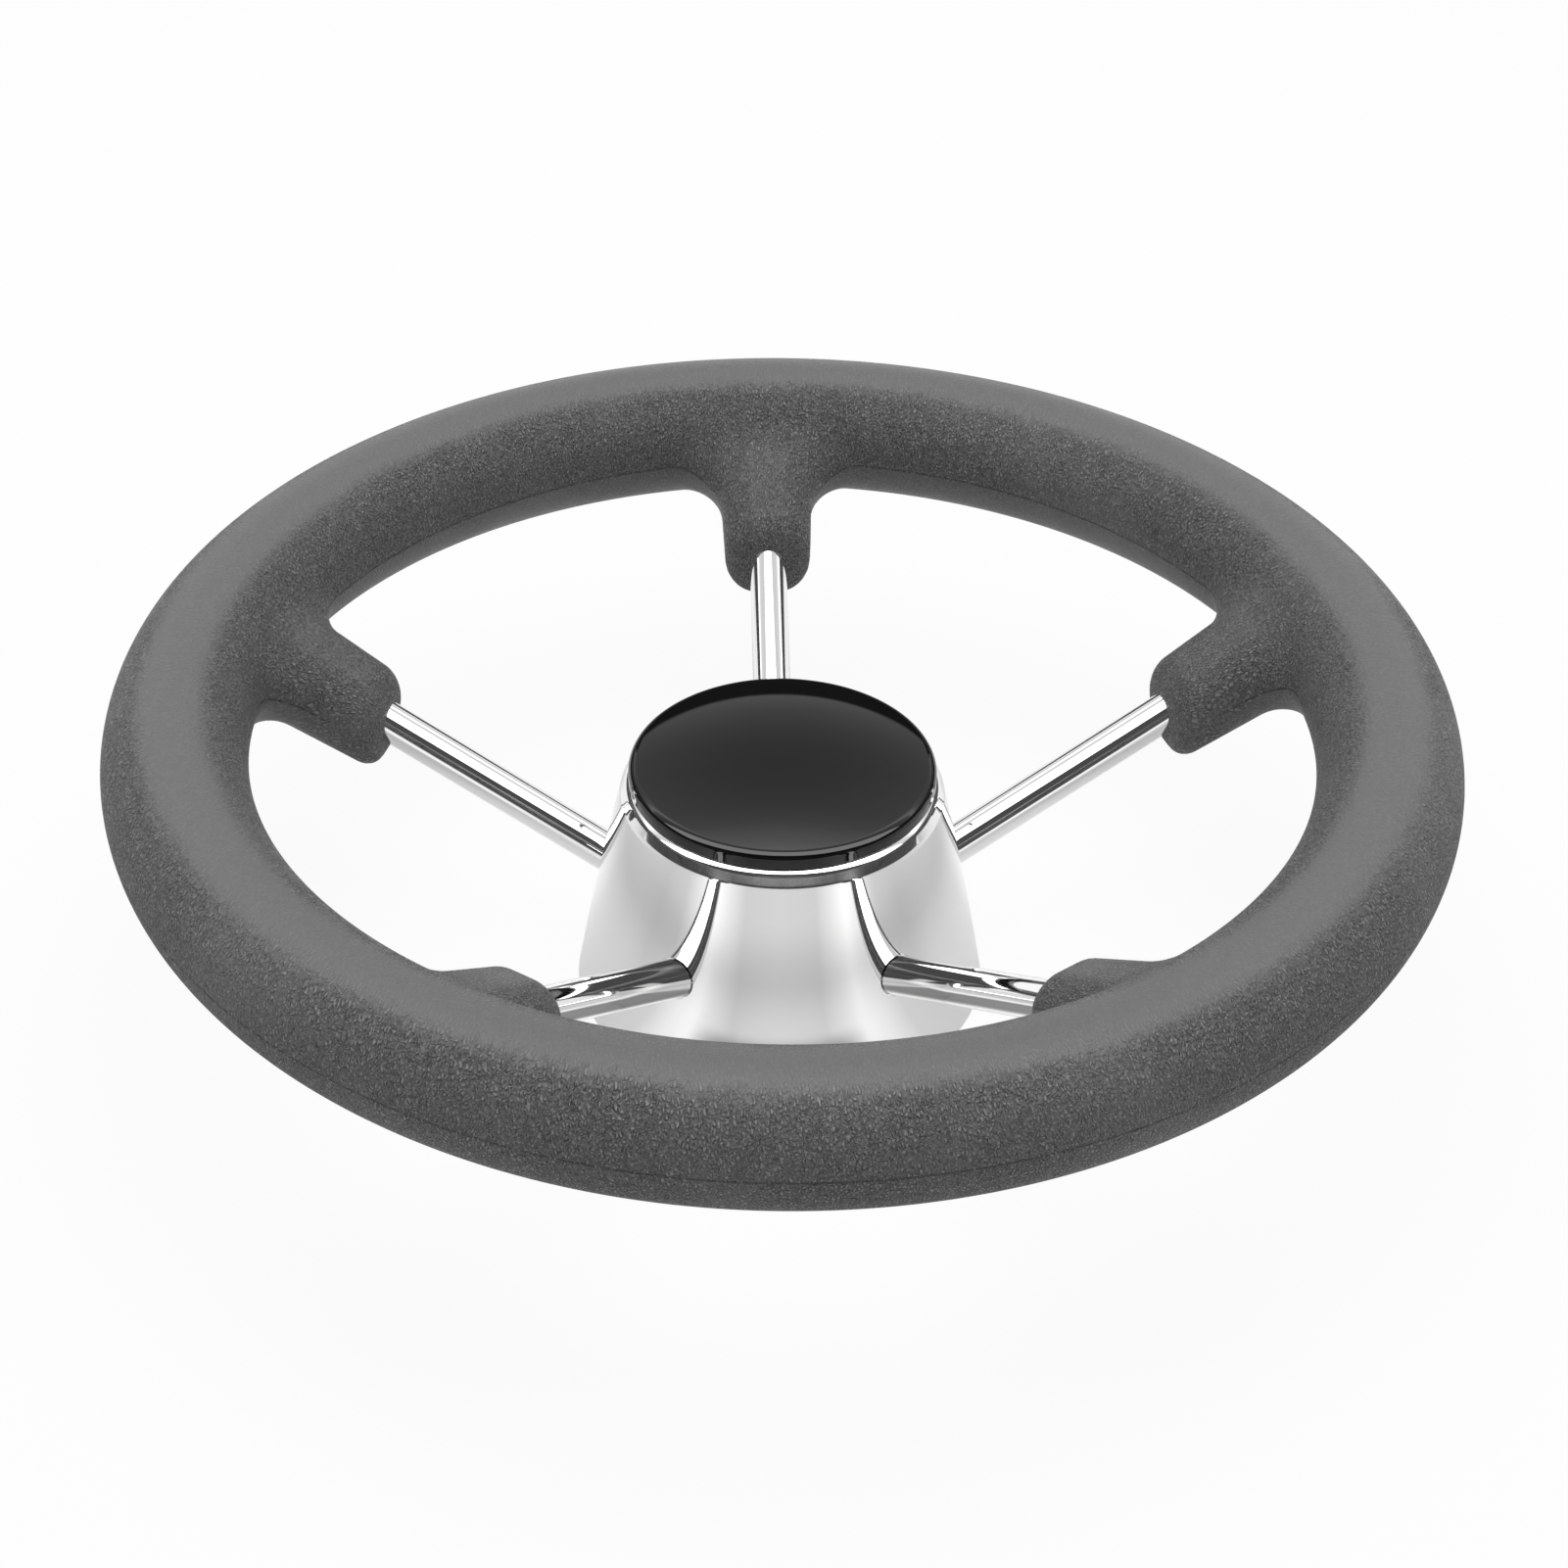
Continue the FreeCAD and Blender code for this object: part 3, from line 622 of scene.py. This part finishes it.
def foam_material():
    """Moulded foam skin: a leather grain, faint on the top, with its relief in bumps and painted light and
    shade in its colour, and the mould's seam as a thin dark groove.
    """
    finishes, grip = bpy.context.scene.wheel_finishes, bpy.context.scene.wheel_grip
    material, tree, shader, place = new_material("moulded_foam", "foam")
    x, y, z = split(tree, place.socket)
    reach = hypot(x, y)
    normal = split(tree, tree.nodes.new("ShaderNodeNewGeometry").outputs["Normal"])
    patches = noise(place, 28.0, 2.0)
    warp = noise(place, 300.0, 2.0)

    # the fourth number lets the grain run right round the rim without a break
    round_scale, section_scale, height_scale = 210.0, 540.0, 900.0
    sway = (warp - 0.5) * 2.4
    third, fourth = x / reach * round_scale + sway, y / reach * round_scale - sway
    wrapped = join(tree, (reach * section_scale + sway, z * height_scale - sway, third))
    cells = tree.nodes.new("ShaderNodeTexVoronoi")
    cells.voronoi_dimensions = "4D"
    cells.feature = "DISTANCE_TO_EDGE"
    for name, value in (("Vector", wrapped), ("W", fourth), ("Scale", 1.0)):
        plug(tree, cells.inputs[name], value)
    crease_width = 0.30
    plateaus = ease(Wire(tree, cells.outputs["Distance"]), 0.0, crease_width)
    ripples = noise(place, 1300.0, 3.0)

    seam = tree.nodes.new("ShaderNodeAttribute")
    seam.attribute_name = "from_seam"
    from_seam = Wire(tree, seam.outputs["Fac"])
    seam_core, seam_edge, seam_on_boots = 0.00008, 0.00040, 0.3
    on_seam = 1.0 - ease(from_seam.size(), seam_core, seam_edge)
    from_ring = reach - grip.ring_radius
    boot_tip, boot_root = -0.036, -0.022
    off_boots = ease(from_ring, boot_tip, boot_root)
    on_seam = on_seam * (off_boots * (1.0 - seam_on_boots) + seam_on_boots)
    # the side that faces the hub is smoother and darker below the seam
    below_seam = 1.0 - ease(from_seam, -0.0015, 0.0005)
    inner_side = 1.0 - ease(from_ring, -0.012, 0.0)
    under_inside = below_seam * inner_side * off_boots
    # the grain, in its bumps and in its painted light and shade, is faint on the top, where the normal points
    # up, and
    #     uneven from patch to patch
    off_top = ease(-normal[2], -0.99, -0.80)
    grain = off_top * (ease(patches, 0.25, 0.60) * 0.4 + 0.6) * 0.85 + 0.15
    grain = grain * (1.0 - under_inside * 0.6)

    # the colour is lighter on the grain's raised cells and the ripples' crests, a painted highlight, and darker in the     creases, painted shade; the seam's groove and the inside below the seam are darker too
    crease = (1.0 - plateaus) * grain
    shade = (plateaus * grain * 0.42 + (ripples - 0.5) * grain * 1.4 - crease * 0.30 + 0.58 - on_seam * 0.5
             - under_inside * 0.16)
    tint = tree.nodes.new("ShaderNodeMix")
    tint.data_type = "RGBA"
    plug(tree, tint.inputs[0], shade.least(1.0).most(0.0))
    tint.inputs[6].default_value = (*finishes.foam_shade, 1.0)
    tint.inputs[7].default_value = (*finishes.foam, 1.0)
    tree.links.new(tint.outputs[2], shader.inputs["Base Color"])
    plug(tree, shader.inputs["Roughness"], patches * 0.10 + 0.36 + crease * 0.2)
    shader.inputs["Specular IOR Level"].default_value = 0.5
    grain_depth, seam_depth = 0.0006, 0.0004
    raise_bumps(tree, shader, (plateaus * grain, grain_depth), (ripples * grain, grain_depth),
                (1.0 - on_seam, seam_depth))
    return material


def polished_material(name, spun):
    """Mirror-polished stainless steel, with slightly uneven gloss and faint marks, in rings if it was spun."""
    material, tree, shader, place = new_material(name, "steel", metallic=1.0)
    marks = tool_rings(place, 4800.0) if spun else noise(place, 1260.0, 2.0)
    cloud = noise(place, 45.0, 3.0)
    plug(tree, shader.inputs["Roughness"], cloud * 0.03 + marks * 0.02 + 0.02)
    mark_depth, cloud_depth = 0.0000004, 0.000004
    raise_bumps(tree, shader, (marks, mark_depth), (cloud, cloud_depth))
    return material


def turned_material():
    """Plain turned and drawn stainless steel, with the tool's fine rings."""
    material, tree, shader, place = new_material("turned_stainless", "turned", metallic=1.0)
    rings = tool_rings(place, 3200.0)
    cloud = noise(place, 60.0, 3.0)
    plug(tree, shader.inputs["Roughness"], cloud * 0.12 + rings * 0.10 + 0.24)
    raise_bumps(tree, shader, (rings, 0.00001))
    return material


def cap_material():
    """Glossy black moulded plastic, with a trace of waviness and fine dust marks."""
    material, tree, shader, place = new_material("glossy_black_plastic", "cap")
    wave = noise(place, 25.0, 1.0)
    dust = noise(place, 1400.0, 2.0)
    shader.inputs["Specular IOR Level"].default_value = 0.5
    plug(tree, shader.inputs["Roughness"], wave * 0.02 + dust * 0.02 + 0.01)
    raise_bumps(tree, shader, (wave, 0.000008))
    return material


def shaded_sheet_material():
    """Unpolished inner face of the bell's sheet, with the spinning tool's rings, in a dark grey that is painted
    shade inside the bell and in the joints round the spokes.
    """
    material, tree, shader, place = new_material("sheet_steel_in_painted_shade", "sheet", metallic=0.8)
    rings = tool_rings(place, 2000.0)
    plug(tree, shader.inputs["Roughness"], rings * 0.15 + 0.45)
    raise_bumps(tree, shader, (rings, 0.00002))
    return material


class WHEEL_OT_add_grip(bpy.types.Operator):
    """Build the foam grip with its boots, holes and seam"""

    bl_idname = "wheel.add_grip"
    bl_label = "Add grip"

    def execute(self, context):
        foam = foam_material()
        groups = (context.scene.wheel_grip, context.scene.wheel_spokes)
        sizes = {row.name: getattr(group, row.identifier) for group, row in numbers_of(groups)}
        mesh = grown_mesh("rim_grip_skin", grip_tree(groups), {"Finish": foam, **sizes})
        piece = add_piece("rim_grip_skin", mesh, foam, "grip_foam", "rim_grip", sharp=55.0)
        return {"FINISHED"}


class WHEEL_OT_add_spokes(bpy.types.Operator):
    """Build the polished spokes, coped to the ring and to the boss"""

    bl_idname = "wheel.add_spokes"
    bl_label = "Add spokes"

    def execute(self, context):
        polished = polished_material("polished_spoke_steel", spun=False)
        for index in range(context.scene.wheel_spokes.count):
            node = f"spoke_{index + 1}"
            add_piece(f"polished_{node}", spoke_mesh(index), polished, "polished_stainless", node)
        return {"FINISHED"}


def spoke_mesh(index):
    """One bar: each line along it runs from the ring bar to the boss."""
    grip, spokes = bpy.context.scene.wheel_grip, bpy.context.scene.wheel_spokes
    axis = Vector((0.0, -math.cos(spokes.dish), -math.sin(spokes.dish)))
    side, above = Vector((1.0, 0.0, 0.0)), Vector((0.0, -math.sin(spokes.dish), math.cos(spokes.dish)))
    start = Vector((0.0, grip.ring_radius, grip.ring_height + spokes.rise))

    def from_ring_bar(point):
        return math.hypot(math.hypot(point.x, point.y) - grip.ring_radius, point.z - grip.ring_height) \
            - grip.core_radius

    def from_boss(point):
        return math.hypot(point.x, point.y) - spokes.boss_radius

    def cope(line, low, high, distance):
        """The place on the line, between low and high, where the distance passes zero."""
        below = distance(line + axis * low) < 0
        for _ in range(30):
            middle = (low + high) / 2
            if (distance(line + axis * middle) < 0) == below:
                low = middle
            else:
                high = middle
        return line + axis * middle

    turned = Matrix.Rotation(-FULL_TURN * index / spokes.count, 3, "Z")
    full = grip.ring_radius / math.cos(spokes.dish)
    lines = [start]
    for number in range(spokes.sides):
        round_angle = FULL_TURN * number / spokes.sides
        lines.append(start + (side * math.cos(round_angle) + above * math.sin(round_angle)) * spokes.radius)
    shape = bmesh.new()
    ring_end, boss_end = [], []
    for line in lines:
        # where the line misses the ring bar, the bar's end stays level with the bar's middle
        reach = cope(line, 0.0, grip.core_radius * 2, from_ring_bar)
        ring_end.append(shape.verts.new(turned @ reach))
        boss_end.append(shape.verts.new(turned @ cope(line, full, full / 2, from_boss)))
    for number in range(spokes.sides):
        one, other = 1 + number, 1 + (number + 1) % spokes.sides
        shape.faces.new((ring_end[one], ring_end[other], boss_end[other], boss_end[one]))
        shape.faces.new((ring_end[0], ring_end[other], ring_end[one]))
        shape.faces.new((boss_end[0], boss_end[one], boss_end[other]))
    bmesh.ops.recalc_face_normals(shape, faces=shape.faces)
    return mesh_of(shape, f"polished_spoke_{index + 1}")


class WHEEL_OT_add_bell(bpy.types.Operator):
    """Build the polished bell with its collar and the holes for the spokes"""

    bl_idname = "wheel.add_bell"
    bl_label = "Add bell"

    def execute(self, context):
        bell, grip, spokes = context.scene.wheel_bell, context.scene.wheel_grip, context.scene.wheel_spokes
        shoulder = bell.height - bell.collar_height
        side_steps = 24
        outer = ((bell.base_radius, 0.0), (bell.shoulder_radius, shoulder))
        inner = ((bell.shoulder_radius - bell.sheet, shoulder - bell.sheet),
                 (bell.base_radius - bell.sheet, 0.0))
        edge = bell.sheet * 0.4
        collar_top = bell.shoulder_radius - bell.collar_height * math.tan(bell.collar_slope)
        outline = rounded_profile([
            (*outer[0], edge),
            *bowed_side(*outer, bell.bow, side_steps),
            (*outer[1], bell.shoulder_round),
            (collar_top, bell.height, bell.collar_round),
            (bell.opening_radius, bell.height, 0.0),
            (bell.opening_radius, bell.height - bell.sheet, 0.0),
            (collar_top - bell.sheet, bell.height - bell.sheet, bell.collar_round - bell.sheet),
            (*inner[0], 0.0),
            *bowed_side(*inner, bell.bow, side_steps),
            (*inner[1], edge),
        ])
        shell = new_object("bell_blank", lathe("bell_blank", outline, bell.steps))

        shape = bmesh.new()
        middle_out = (bell.base_radius + bell.shoulder_radius) / 2
        height = grip.ring_height + spokes.rise - (grip.ring_radius - middle_out) * math.tan(spokes.dish)
        bmesh.ops.create_cone(shape, cap_ends=True, segments=spokes.sides, depth=0.03,
                              radius1=spokes.radius + bell.joint_gap, radius2=spokes.radius + bell.joint_gap,
                              matrix=Matrix.Translation((0.0, middle_out, height))
                              @ Matrix.Rotation(math.pi / 2 + spokes.dish, 4, "X"))
        steel = polished_material("polished_bell_steel", spun=True)
        cutter = new_object("spoke_cutters", grown_mesh(
            "spoke_cutters", round_axis_tree(), {"Count": spokes.count, "Finish": steel},
            mesh_of(shape, "one_cutter")))
        cut = shell.modifiers.new("spoke_holes", "BOOLEAN")
        cut.operation = "DIFFERENCE"
        cut.solver = "MANIFOLD"
        cut.object = cutter
        evaluated = shell.evaluated_get(context.evaluated_depsgraph_get())
        mesh = bpy.data.meshes.new_from_object(evaluated)
        mesh.name = "polished_bell"
        bpy.data.objects.remove(shell)
        bpy.data.objects.remove(cutter)
        if len(mesh.polygons) < bell.steps:
            raise RuntimeError("the bell's holes left no shell")
        add_piece("polished_bell", mesh, steel, "polished_stainless", "hub_bell", sharp=50.0)
        mesh.materials.append(shaded_sheet_material())
        # the inner face and the walls of the joints round the spokes take the dark sheet finish, which is
        # painted shade
        slope = (bell.base_radius - bell.shoulder_radius) / shoulder
        for face in mesh.polygons:
            depth = bell.base_radius - face.center.z * slope - math.hypot(face.center.x, face.center.y)
            if depth > bell.sheet * 0.3 and face.center.z < shoulder - bell.sheet * 0.5:
                face.material_index = 1
        return {"FINISHED"}


class WHEEL_OT_add_cap(bpy.types.Operator):
    """Build the domed cap and its snap fingers"""

    bl_idname = "wheel.add_cap"
    bl_label = "Add cap"

    def execute(self, context):
        cap, bell = context.scene.wheel_cap, context.scene.wheel_bell
        seat = bell.height
        top = seat + cap.edge_height + cap.dome
        dome_radius = (cap.radius ** 2 + cap.dome ** 2) / (2 * cap.dome)
        dome_steps = 40

        def dome(out, radius):
            return top - dome_radius + math.sqrt(radius ** 2 - out ** 2)

        inner_radius, inside = cap.radius - cap.wall, dome_radius - cap.wall
        outer_top = [(cap.radius * share, dome(cap.radius * share, dome_radius), 0.0)
                     for share in (1 - step / dome_steps for step in range(3, dome_steps))]
        inner_top = [(inner_radius * share, dome(inner_radius * share, inside), 0.0)
                     for share in (step / dome_steps for step in range(1, dome_steps))]
        outline = rounded_profile([
            (inner_radius, seat, 0.0),
            (cap.radius, seat, 0.0003),
            (cap.radius, dome(cap.radius, dome_radius), cap.edge_round),
            *outer_top,
            (0.0, top, 0.0),
            (0.0, top - cap.wall, 0.0),
            *inner_top,
            (inner_radius, dome(inner_radius, inside), 0.0),
        ])
        shape = bmesh.new()
        shape.from_mesh(lathe("cap_dome", outline, bell.steps))

        outside = bell.opening_radius - cap.finger_clearance
        within = outside - cap.finger_thickness
        catch = seat - bell.sheet
        tip = catch - cap.barb_height
        barb = bell.opening_radius + cap.barb_reach
        root = dome(outside, inside) + cap.wall / 2
        finger = [
            (within, tip), (outside, tip), (barb, catch - cap.barb_edge), (barb, catch), (outside, catch),
            (outside, root), (within, root),
        ]
        plastic = cap_material()
        one_finger = lathe("snap_finger", finger, 16, cap.finger_sweep, -cap.finger_sweep / 2)
        fingers = {"Count": cap.finger_count, "Finish": plastic}
        shape.from_mesh(grown_mesh("snap_fingers", round_axis_tree(), fingers, one_finger))
        add_piece("gloss_cap", mesh_of(shape, "gloss_cap"), plastic, "cap_plastic", "centre_cap", sharp=35.0)
        return {"FINISHED"}


class WHEEL_OT_finish_inner_parts(bpy.types.Operator):
    """Give the ring bar, boss and nut their turned finish"""

    bl_idname = "wheel.finish_inner_parts"
    bl_label = "Finish inner parts"

    def execute(self, context):
        turned = turned_material()
        for name in ("rim_core", "hub_boss", "shaft_nut"):
            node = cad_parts[name]
            for slot in node.material_slots:
                slot.material = turned
        return {"FINISHED"}


def camera_side(tree, place):
    """The parts of a place or direction, turned so that -Y points at the camera."""
    turn = bpy.context.scene.wheel_studio.turn
    x, y, z = split(tree, place)
    return x * math.cos(turn) + y * math.sin(turn), y * math.cos(turn) - x * math.sin(turn), z


def ramp(value, stops, top):
    """A brightness between 0 and top, along stops of (position, brightness) over the value's range."""
    node = value.tree.nodes.new("ShaderNodeValToRGB")
    reach = stops[-1][0]
    plug(value.tree, node.inputs[0], value / reach)
    colours = node.color_ramp.elements
    while len(colours) > 1:
        colours.remove(colours[-1])
    for number, (position, level) in enumerate(stops):
        colour_stop = colours[0] if number == 0 else colours.new(position / reach)
        colour_stop.position = position / reach
        colour_stop.color = (level / top, level / top, level / top, 1.0)
    return Wire(value.tree, node.outputs["Color"]) * top


def studio_world():
    """White to the camera and in reflections, and an even, weaker fill on matt surfaces."""
    studio = bpy.context.scene.wheel_studio
    world = bpy.data.worlds.new("studio")
    bpy.context.scene.world = world
    world.use_nodes = True
    tree = world.node_tree
    tree.nodes.clear()
    rays = tree.nodes.new("ShaderNodeLightPath")
    plain = Wire(tree, rays.outputs["Is Camera Ray"])
    for name in ("Is Glossy Ray", "Is Transmission Ray"):
        plain = plain.most(Wire(tree, rays.outputs[name]))
    background = tree.nodes.new("ShaderNodeBackground")
    background.inputs["Color"].default_value = (1.0, 1.0, 1.0, 1.0)
    plug(tree, background.inputs["Strength"], plain * (1.0 - studio.fill_level) + studio.fill_level)
    output = tree.nodes.new("ShaderNodeOutputWorld")
    tree.links.new(background.outputs[0], output.inputs[0])


def reflection_room():
    """The studio that polished surfaces show: a softbox overhead, low lamps at the sides, a white backdrop, and
    the dark room between them. Nothing else sees this dome or gets light from it."""
    radius = 5.0
    shape = bmesh.new()
    bmesh.ops.create_uvsphere(shape, u_segments=64, v_segments=32, radius=radius)
    below = [vertex for vertex in shape.verts if vertex.co.z < -radius * 0.2]
    bmesh.ops.delete(shape, geom=below, context="VERTS")
    room = new_object("reflection_room", mesh_of(shape, "reflection_room"))
    for kind in ("camera", "diffuse", "transmission", "volume_scatter", "shadow"):
        setattr(room, f"visible_{kind}", False)

    material = bpy.data.materials.new("reflection_room")
    material.use_nodes = True
    material.cycles.emission_sampling = "NONE"
    tree = material.node_tree
    tree.nodes.clear()
    outward = tree.nodes.new("ShaderNodeVectorMath")
    outward.operation = "NORMALIZE"
    tree.links.new(tree.nodes.new("ShaderNodeTexCoord").outputs["Object"], outward.inputs[0])
    x, y, z = camera_side(tree, outward.outputs[0])
    # degrees over the wheel from the camera's side, and the brightness there: a dark room with one thin light,
    # the softbox, its frame, and a grey ceiling that brightens to both ends
    bend = 5.0
    softbox = 4.0
    over = z.math("ARCTAN2", -y) * DEGREES + x.size() * bend
    ceiling = ramp(over, [
        (0, 0.03), (23.6, 0.03), (24.6, 0.60), (25.9, 0.03), (51, 0.02), (54, softbox), (97, softbox),
        (99, 0.62), (112, 0.70), (120, 1.0), (125, 2.0), (128, 1.3), (131, 0.75), (134, 0.52),
        (138, 0.40), (142, 0.34), (146, 0.34), (150, 0.40), (154, 0.52), (158, 0.74), (160, 0.97),
        (190, 0.97)], softbox)
    # past the softbox the ceiling is nearly twice as bright at the sides
    to_side = (x * x * 15.0).least(1.0) * ease(over, 120.0, 140.0)
    ceiling = ceiling * (to_side * 0.9 + 1.0)

    # a dark gap lies between the ceiling and the backdrop, and its top rises on both sides of the far middle
    gap_rise = (x * x * 2.75).least(0.12) * (1.0 - ease(x.size(), 0.26, 0.38)) * ease(y, 0.3, 0.7)
    below_start, below_end, above_start, above_end = (
        math.sin(math.radians(rise)) for rise in (14.5, 16.5, 22.3, 23.0))
    above_gap = ease(z - gap_rise, above_start, above_end)
    below_gap = 1.0 - ease(z, below_start, below_end)
    backdrop = ease(y, -0.25, 0.30)
    lamp_turn, lamp_half, lamp_fade = 37.0, 5.0, 9.0
    round_from_camera = x.math("ARCTAN2", -y).size() * DEGREES
    low_lamps = 1.0 - ease((round_from_camera - lamp_turn).size(), lamp_half, lamp_fade)
    lamp_level, wall_level, haze = 0.6, 0.03, 0.045
    brightness = ceiling * above_gap + (backdrop + low_lamps * lamp_level + wall_level) * below_gap + haze
    glow = tree.nodes.new("ShaderNodeEmission")
    plug(tree, glow.inputs["Strength"], brightness)
    output = tree.nodes.new("ShaderNodeOutputMaterial")
    tree.links.new(glow.outputs[0], output.inputs[0])
    room.data.materials.append(material)


def studio_floor():
    """A wide sheet of white paper, which shows nearly white and keeps the wheel's shadow."""
    studio = bpy.context.scene.wheel_studio
    half = 6.0
    mesh = bpy.data.meshes.new("floor")
    corners = [(-half, -half, 0), (half, -half, 0), (half, half, 0), (-half, half, 0)]
    mesh.from_pydata(corners, [], [(0, 1, 2, 3)])
    floor = new_object("floor", mesh)
    material = bpy.data.materials.new("white_paper")
    material.use_nodes = True
    tree = material.node_tree
    tree.nodes.clear()
    rays = tree.nodes.new("ShaderNodeLightPath")
    seen = Wire(tree, rays.outputs["Is Camera Ray"])
    mirrored = Wire(tree, rays.outputs["Is Glossy Ray"]).most(Wire(tree, rays.outputs["Is Transmission Ray"]))
    x, y, _ = camera_side(tree, tree.nodes.new("ShaderNodeTexCoord").outputs["Object"])
    # polished surfaces show the paper with painted light, as side lamps would give it, by degrees from the
    # camera's
    #     side, and a painted shadow of the rim close in front of the bell
    round_from_camera = x.math("ARCTAN2", -y).size()
    lit = ramp(round_from_camera * DEGREES, [
        (0, 0.86), (20, 0.82), (29, 1.08), (37, 1.36), (45, 1.15), (56, 0.80), (70, 0.74), (104, 0.96),
        (130, 1.1), (180, 1.1)], 1.5)
    close_in_front = (1.0 - ease(hypot(x, y), 0.085, 0.105)) * (1.0 - ease(round_from_camera, 0.4, 0.7))
    painted_rim_shadow = 0.6
    pattern = blend(lit * 0.0 + 1.0, lit * (1.0 - close_in_front * painted_rim_shadow), mirrored)
    paper = tree.nodes.new("ShaderNodeBsdfDiffuse")
    tint = join(tree, [pattern * part for part in studio.floor])
    tree.links.new(tint.socket, paper.inputs["Color"])
    glow = tree.nodes.new("ShaderNodeEmission")
    plug(tree, glow.inputs["Strength"], pattern)
    mix = tree.nodes.new("ShaderNodeMixShader")
    plug(tree, mix.inputs[0], seen * studio.floor_glow + mirrored * studio.floor_glint)
    tree.links.new(paper.outputs[0], mix.inputs[1])
    tree.links.new(glow.outputs[0], mix.inputs[2])
    output = tree.nodes.new("ShaderNodeOutputMaterial")
    tree.links.new(mix.outputs[0], output.inputs[0])
    mesh.materials.append(material)


def studio_camera():
    """The photograph's view, from the front and above."""
    studio, grip = bpy.context.scene.wheel_studio, bpy.context.scene.wheel_grip
    to_camera = Vector((0.0, -math.cos(studio.elevation), math.sin(studio.elevation)))
    look = -to_camera
    right = Vector((1.0, 0.0, 0.0))
    up = right.cross(look)
    look = (look + right * math.tan(studio.pan) + up * math.tan(studio.tilt)).normalized()
    right = look.cross(Vector((0.0, 0.0, 1.0))).normalized()
    up = right.cross(look)
    aimed = Matrix((right, up, -look)).transposed().to_4x4() @ Matrix.Rotation(studio.roll, 4, "Z")
    camera_data = bpy.data.cameras.new("camera")
    camera_data.lens = studio.lens
    camera_data.sensor_width = 36.0
    camera = new_object("camera", camera_data)
    middle = Vector((0.0, 0.0, grip.ring_height))
    camera.matrix_world = (Matrix.Translation(middle) @ Matrix.Rotation(studio.turn, 4, "Z")
                           @ Matrix.Translation(to_camera * studio.distance) @ aimed)
    bpy.context.scene.camera = camera


def studio_lamp():
    """A large softbox overhead, seen only by matt surfaces."""
    studio = bpy.context.scene.wheel_studio
    lamp_data = bpy.data.lights.new("softbox", "AREA")
    lamp_data.shape = "SQUARE"
    lamp_data.size = 1.5
    lamp_data.energy = studio.key_power
    back, height, lean = 0.25, 1.5, math.radians(-9)
    lamp = new_object("softbox", lamp_data)
    lamp.location = (0.0, back, height)
    lamp.rotation_euler = (lean, 0.0, 0.0)
    lamp.visible_glossy = False
    lamp.visible_camera = False


class WHEEL_OT_set_stage(bpy.types.Operator):
    """Set the floor, light and camera"""

    bl_idname = "wheel.set_stage"
    bl_label = "Set stage"

    def execute(self, context):
        context.scene.view_settings.view_transform = "Standard"
        studio_world()
        reflection_room()
        studio_floor()
        studio_lamp()
        studio_camera()
        return {"FINISHED"}


OPERATORS = (
    WHEEL_OT_set_stage,
    WHEEL_OT_add_grip,
    WHEEL_OT_add_spokes,
    WHEEL_OT_add_bell,
    WHEEL_OT_add_cap,
    WHEEL_OT_finish_inner_parts,
)


class WHEEL_PT_panel(bpy.types.Panel):
    """Lists the wheel's pieces"""

    bl_idname = "WHEEL_PT_panel"
    bl_label = "Steering wheel"
    bl_space_type = "VIEW_3D"
    bl_region_type = "UI"
    bl_category = "Wheel"

    def draw(self, context):
        for operator in OPERATORS:
            self.layout.operator(operator.bl_idname)


def register():
    for kind in (*GROUPS.values(), *OPERATORS, WHEEL_PT_panel):
        bpy.utils.register_class(kind)
    for name, group in GROUPS.items():
        setattr(bpy.types.Scene, name, PointerProperty(type=group))


def unregister():
    for name in GROUPS:
        delattr(bpy.types.Scene, name)
    for kind in (WHEEL_PT_panel, *reversed(OPERATORS), *reversed(GROUPS.values())):
        bpy.utils.unregister_class(kind)


def main():
    register()
    for operator in OPERATORS:
        family, name = operator.bl_idname.split(".")
        getattr(getattr(bpy.ops, family), name)()


if __name__ == "__main__":
    main()
